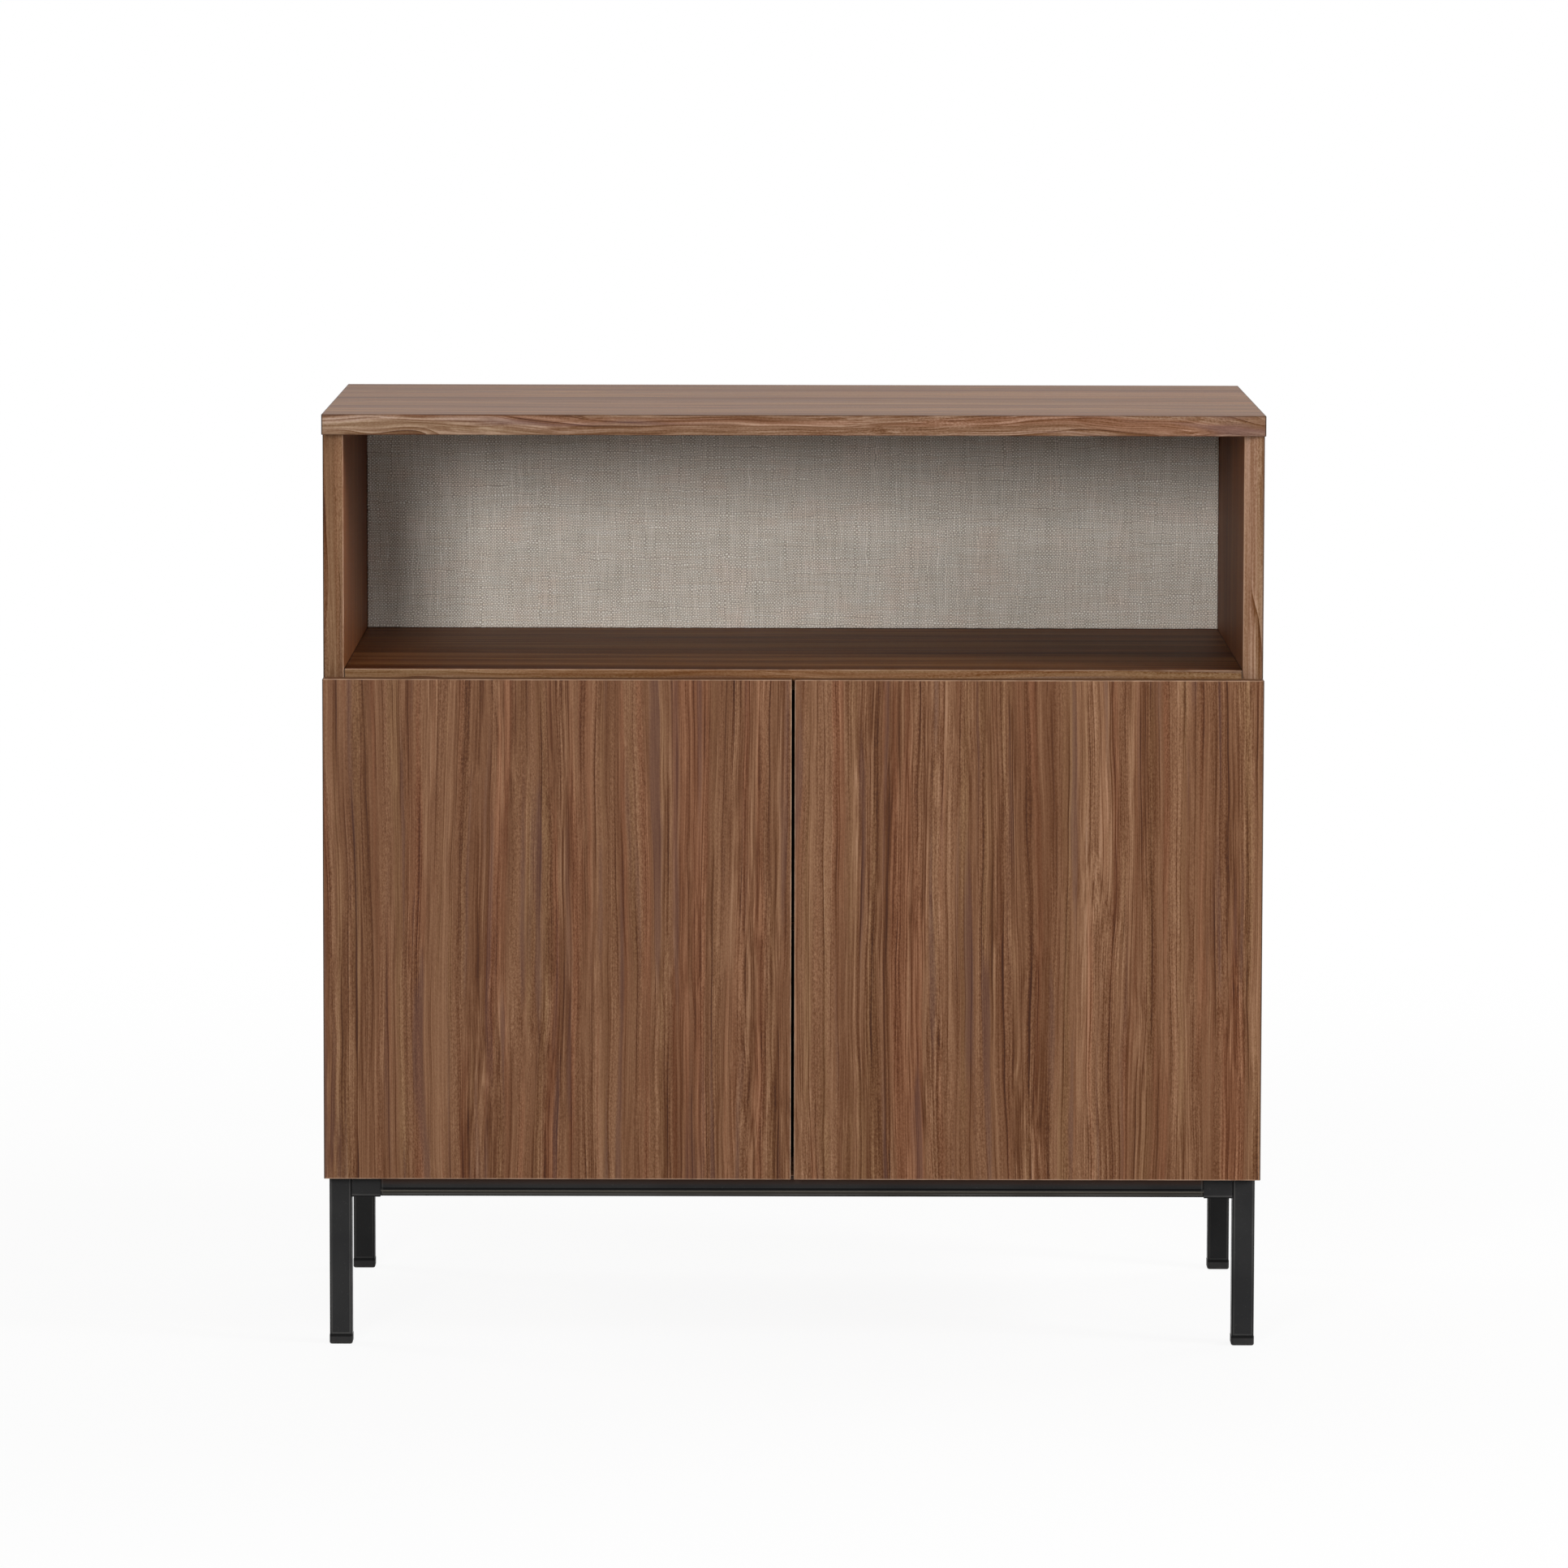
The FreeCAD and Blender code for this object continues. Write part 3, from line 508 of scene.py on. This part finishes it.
def linen(name):
    """Plain weave of pale weft over darker warp, with thick and thin threads and slubs."""
    finish = new_finish(name, 0.9, specular=0.15)
    finish.node_tree.nodes["Principled BSDF"].inputs["Sheen Weight"].default_value = 0.15
    finish.node_tree.nodes["Principled BSDF"].inputs["Sheen Roughness"].default_value = 0.5
    place = object_place(finish)
    x, y, z = split(finish, place)
    across = reckon(finish, "ADD", x, y)
    upright = reckon(finish, "ADD", z, y)
    spot = step(finish, "CombineXYZ", {0: across, 1: upright})
    wander = split(finish, grain(finish, spot, (60, 60, 1), 1.0, out=1))
    across = thread_count(finish, across, wander[0], grain(finish, spot, (190, 9, 1), 1.0))
    upright = thread_count(finish, upright, wander[1], grain(finish, spot, (9, 190, 1), 1.0))
    column = reckon(finish, "FLOOR", across)
    row = reckon(finish, "FLOOR", upright)
    weft_over = reckon(finish, "FLOORED_MODULO", reckon(finish, "ADD", column, row), 2.0)

    warp_back = crown(finish, across)
    weft_back = crown(finish, upright)
    warp_shape = reckon(finish, "MULTIPLY", warp_back, reckon(finish, "POWER", weft_back, 0.45))
    weft_shape = reckon(finish, "MULTIPLY", weft_back, reckon(finish, "POWER", warp_back, 0.45))
    height = step(finish, "Mix", {0: weft_over, 2: warp_shape, 3: weft_shape})

    warp_tone = thread_tone(finish, column, upright, 3.3)
    weft_tone = thread_tone(finish, row, across, 8.1)
    warp_slub = between(finish, warp_tone, 0.62, 0.7, 0.0, 0.8)
    weft_slub = between(finish, weft_tone, 0.62, 0.72, 0.0, 0.8)
    warp_pale = between(finish, warp_tone, 0.34, 0.64)
    weft_pale = between(finish, weft_tone, 0.34, 0.64)
    warp = overlay(finish, warp_pale, tint(196, 186, 172), tint(231, 222, 210))
    weft = overlay(finish, weft_pale, tint(241, 232, 219), tint(255, 252, 244))
    warp = overlay(finish, warp_slub, warp, tint(250, 243, 235))
    weft = overlay(finish, weft_slub, weft, tint(255, 251, 245))
    colour = overlay(finish, weft_over, warp, weft)
    gap = between(finish, height, 0.1, 0.65, 0.78, 0.0)
    colour = overlay(finish, gap, colour, tint(152, 140, 128))
    cloud = grain(finish, place, (22, 22, 30), 3.0)
    warmer = between(finish, cloud, 0.52, 0.66, 0.0, 0.45)
    greyer = between(finish, cloud, 0.34, 0.48, 0.45, 0.0)
    colour = overlay(finish, warmer, colour, (1.05, 0.975, 0.955, 1), "MULTIPLY")
    colour = overlay(finish, greyer, colour, (0.9, 0.925, 0.93, 1), "MULTIPLY")
    fuzz = grain(finish, place, 2500, 1.0)
    lift = reckon(finish, "MULTIPLY_ADD", fuzz, 0.25, height)
    set_on(finish, Base_Color=colour, Normal=relief(finish, lift, 0.0003, 0.7))
    return finish


board_low, board_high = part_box("tack_board")
cloth_stand_off = 0.0007
cloth_round = 0.0014
cloth_thickness = 0.0005
cloth_step = 0.004
cloth_ripple = 0.00012
broad_ripples = 9
fine_ripples = 31
flat_margin = 0.02
cut_short = 0.0005
fold_length = cloth_round * math.pi / 2
fold_steps = 5
turned_steps = 3
corner_slack = 1e-6
turned_length = board_high.y - board_low.y - cut_short - cloth_round


def over_edge(distance):
    """Where cloth lies that distance past the start of a rounded edge: (out, back)."""
    if distance < fold_length:
        turn = distance / cloth_round
        return cloth_round * math.sin(turn), cloth_round * (1 - math.cos(turn))
    return cloth_round, cloth_round + distance - fold_length


def spaced_over(flat_half):
    """Distances from the middle of the cloth to its cut edge, close together at the fold."""
    count = max(2, round(flat_half / cloth_step))
    marks = [flat_half * i / count for i in range(count + 1)]
    marks += [flat_half + fold_length * i / fold_steps for i in range(1, fold_steps + 1)]
    marks += [marks[-1] + turned_length * i / turned_steps for i in range(1, turned_steps + 1)]
    return [-mark for mark in reversed(marks[1:])] + marks


cloth_middle = (board_low + board_high) / 2
half_wide = (board_high.x - board_low.x) / 2 + cloth_stand_off - cloth_round
half_tall = (board_high.z - board_low.z) / 2 + cloth_stand_off - cloth_round
columns = spaced_over(half_wide)
rows = spaced_over(half_tall)
front_y = board_low.y - cloth_stand_off


def ripple(u, v):
    """How far the stretched cloth waves off its board, fading out towards the edges."""
    broad = noise.noise(Vector((u * broad_ripples, v * broad_ripples, 0.3)))
    fine = noise.noise(Vector((u * fine_ripples, v * fine_ripples, 2.7)))
    fade = min(1.0, (half_wide - abs(u)) / flat_margin, (half_tall - abs(v)) / flat_margin)
    return cloth_ripple * (broad + 0.5 * fine) * fade


cloth_mesh = bmesh.new()
grid = []
for v in rows:
    line = []
    for u in columns:
        past_u = max(0.0, abs(u) - half_wide)
        past_v = max(0.0, abs(v) - half_tall)
        if past_u > 0 and past_v > 0 and max(past_u, past_v) > fold_length + corner_slack:
            line.append(None)
            continue
        out_u, back_u = over_edge(past_u)
        out_v, back_v = over_edge(past_v)
        x = math.copysign(min(abs(u), half_wide) + out_u, u)
        z = math.copysign(min(abs(v), half_tall) + out_v, v)
        y = front_y + max(back_u, back_v)
        if not past_u and not past_v:
            y += ripple(u, v)
        line.append(cloth_mesh.verts.new((cloth_middle.x + x, y, cloth_middle.z + z)))
    grid.append(line)
for i in range(len(rows) - 1):
    for j in range(len(columns) - 1):
        square = [grid[i][j], grid[i][j + 1], grid[i + 1][j + 1], grid[i + 1][j]]
        if None not in square:
            cloth_mesh.faces.new(square).smooth = True
bmesh.ops.recalc_face_normals(cloth_mesh, faces=cloth_mesh.faces)
front_face = min(cloth_mesh.faces, key=lambda face: face.calc_center_median().y)
if front_face.normal.y > 0:
    bmesh.ops.reverse_faces(cloth_mesh, faces=cloth_mesh.faces)
cloth_data = bpy.data.meshes.new("tack_cloth")
cloth_mesh.to_mesh(cloth_data)
cloth_mesh.free()
tack_cloth = bpy.data.objects.new("tack_cloth", cloth_data)
bpy.context.scene.collection.objects.link(tack_cloth)
tack_cloth.data.materials.append(linen("linen-look cloth"))
body = tack_cloth.modifiers.new("thickness", "SOLIDIFY")
body.thickness = cloth_thickness
body.offset = -1.0
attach(tack_cloth, "root")
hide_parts("tack_fabric")


# ---- Loose shelf and shelf pins ----------------------------------------------------------
# The same laminated board, loose on four nickel-plated pins with square pads, which push into
# the drilled rows in the side panels.

loose_shelf = walnut("walnut, loose shelf", *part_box("adjustable_shelf"), X, Y, (8.8, 0.61, 0.05))
apply(loose_shelf, "adjustable_shelf")
nickel = plated("nickel plate", (214, 208, 198), (180, 174, 165), 0.26)
apply(nickel, "shelf_pins")


# ---- Hinges ------------------------------------------------------------------------------
# Concealed cup hinges of pressed, nickel-plated steel, two to a door: a cup sunk in the door,
# a cranked link, and an arm on a plate that is screwed to the side panel.

pressed = plated("pressed nickel plate", (216, 211, 202), (184, 179, 170), 0.3, (240, 240, 1500))
for side in ("left", "right"):
    for level in ("upper", "lower"):
        for part in ("cup", "link", "arm"):
            apply(pressed, f"{side}_{level}_hinge_{part}")
    apply(nickel, f"{side}_cup_pins")
    apply(zinc, f"{side}_cup_screws")
apply(zinc, "hinge_plates", "hinge_arm_pins", "hinge_plate_screws")


# ---- Doors ---------------------------------------------------------------------------------
# Two plain overlay doors of the same board with upright grain, 3 mm apart. They have no handles
# and open by a press.

laminate("left_door", Z, X, (0.0, 0.0, 0.0))
laminate("right_door", Z, X, (0.6, -0.02, 0.003))


# ---- Push latches ----------------------------------------------------------------------------
# Grey moulded bodies under the fixed shelf, each with a sprung plunger that meets a zinc-plated
# disc on the back of its door.

def moulded_grey(name):
    finish = new_finish(name, 0.5, specular=0.4)
    place = object_place(finish)
    spark = grain(finish, place, 2400, 2.0)
    colour = overlay(finish, grain(finish, place, 50, 2.0), tint(142, 143, 145), tint(160, 161, 163))
    gloss = between(finish, spark, 0.2, 0.8, 0.42, 0.6)
    set_on(finish, Base_Color=colour, Roughness=gloss, Normal=relief(finish, spark, 0.00006))
    return finish


grey = moulded_grey("moulded grey")
wire = plated("spring wire", (150, 150, 154), (110, 110, 116), 0.34)
for side in ("left", "right"):
    apply(grey, f"{side}_latch_body", f"{side}_latch_plunger")
    apply(wire, f"{side}_latch_spring")
    apply(zinc, f"{side}_strike_plate")
apply(zinc, "latch_screws")


# ---- Studio ------------------------------------------------------------------------------------
# A plain white floor that runs out of sight under dim white air. Three soft boxes light the front
# from the left, the right and the side, one hangs overhead and two stand behind, and the camera
# looks from the front, a little above the top of the credenza.

def seen_directly(finish):
    """1 for what the camera sees, also by way of gloss or glass."""
    path = step(finish, "LightPath", {}).node.outputs
    seen = reckon(finish, "MAXIMUM", path["Is Camera Ray"], path["Is Glossy Ray"])
    return reckon(finish, "MAXIMUM", seen, path["Is Transmission Ray"])


floor_reach = 7.0
shadow_reach = 0.8
clear_reach = 3.0


def new_floor():
    """A round white floor that keeps the shadows near the credenza and clears to white far out."""
    shape = bmesh.new()
    bmesh.ops.create_circle(shape, cap_ends=True, segments=96, radius=floor_reach)
    data = bpy.data.meshes.new("floor")
    shape.to_mesh(data)
    shape.free()
    made = bpy.data.objects.new("floor", data)
    bpy.context.scene.collection.objects.link(made)
    paint = bpy.data.materials.new("white floor")
    paint.use_nodes = True
    paint.node_tree.nodes.clear()
    place = object_place(paint)
    far_out = step(paint, "VectorMath", {0: place}, out=1, operation="LENGTH")
    speck = grain(paint, place, 180, 2.0)
    white = overlay(paint, speck, tint(240, 240, 240), tint(246, 246, 246))
    matt = step(paint, "BsdfDiffuse", {"Color": white})
    glow = step(paint, "Emission", {"Color": (1, 1, 1, 1), "Strength": 1.0})
    clear = between(paint, far_out, shadow_reach, clear_reach, 0.91, 1.0)
    clear = reckon(paint, "MULTIPLY", clear, seen_directly(paint))
    end_node = paint.node_tree.nodes.new("ShaderNodeOutputMaterial")
    surface = step(paint, "MixShader", {0: clear, 1: matt, 2: glow})
    paint.node_tree.links.new(surface, end_node.inputs["Surface"])
    made.data.materials.append(paint)
    return made


floor = new_floor()

air_light = 0.118
studio = bpy.data.worlds.new("studio")
bpy.context.scene.world = studio
studio.use_nodes = True
studio.node_tree.nodes.clear()
dim_air = step(studio, "Background", {"Color": (1.0, 0.97, 0.93, 1), "Strength": air_light})
white_air = step(studio, "Background", {"Color": (1, 1, 1, 1), "Strength": 1.0})
air = step(studio, "MixShader", {0: seen_directly(studio), 1: dim_air, 2: white_air})
world_end = studio.node_tree.nodes.new("ShaderNodeOutputWorld")
studio.node_tree.links.new(air, world_end.inputs["Surface"])

lamp_aim = Vector((0, 0, 0.5))


def soft_box(name, azimuth, elevation, distance, side, power):
    """A square soft box, so many degrees round from the front and up from level, so many metres
    off and in watts."""
    turn = math.radians(azimuth)
    rise = math.radians(elevation)
    away = Vector((math.sin(turn) * math.cos(rise), -math.cos(turn) * math.cos(rise), math.sin(rise)))
    lamp = bpy.data.lights.new(name, "AREA")
    lamp.shape = "SQUARE"
    lamp.size = side
    lamp.energy = power
    box = bpy.data.objects.new(name, lamp)
    bpy.context.scene.collection.objects.link(box)
    box.location = lamp_aim + away * distance
    box.rotation_mode = "QUATERNION"
    box.rotation_quaternion = (-away).to_track_quat("-Z", "Y")


soft_box("key", azimuth=-13, elevation=12.5, distance=6.0, side=1.05, power=159)
soft_box("fill", azimuth=41, elevation=15, distance=5.0, side=1.55, power=52)
soft_box("side fill", azimuth=67, elevation=20.5, distance=5.0, side=1.25, power=138)
soft_box("overhead", azimuth=180, elevation=60, distance=4.0, side=1.9, power=35)
soft_box("rear left", azimuth=-112, elevation=14, distance=5.0, side=2.0, power=110)
soft_box("rear right", azimuth=125, elevation=16, distance=5.0, side=2.0, power=72)

camera_place = Vector((-0.0138, -8.3427, 1.4094))
pitch = math.radians(6.027)
yaw = math.radians(0.0355)
roll = math.radians(-0.118)
camera_data = bpy.data.cameras.new("camera")
camera_data.lens = 192.28
camera_data.sensor_width = 36.0
camera_data.clip_start = 0.1
camera_data.clip_end = 200.0
camera = bpy.data.objects.new("camera", camera_data)
bpy.context.scene.collection.objects.link(camera)
ahead = Vector((math.sin(yaw) * math.cos(pitch), math.cos(yaw) * math.cos(pitch), -math.sin(pitch)))
level = Vector((math.cos(yaw), -math.sin(yaw), 0))
down = ahead.cross(level)
image_right = math.cos(roll) * level + math.sin(roll) * down
image_down = -math.sin(roll) * level + math.cos(roll) * down
camera_turn = Matrix((image_right, -image_down, -ahead)).transposed().to_4x4()
camera.matrix_world = Matrix.Translation(camera_place) @ camera_turn
bpy.context.scene.camera = camera
bpy.context.scene.view_settings.view_transform = "Standard"
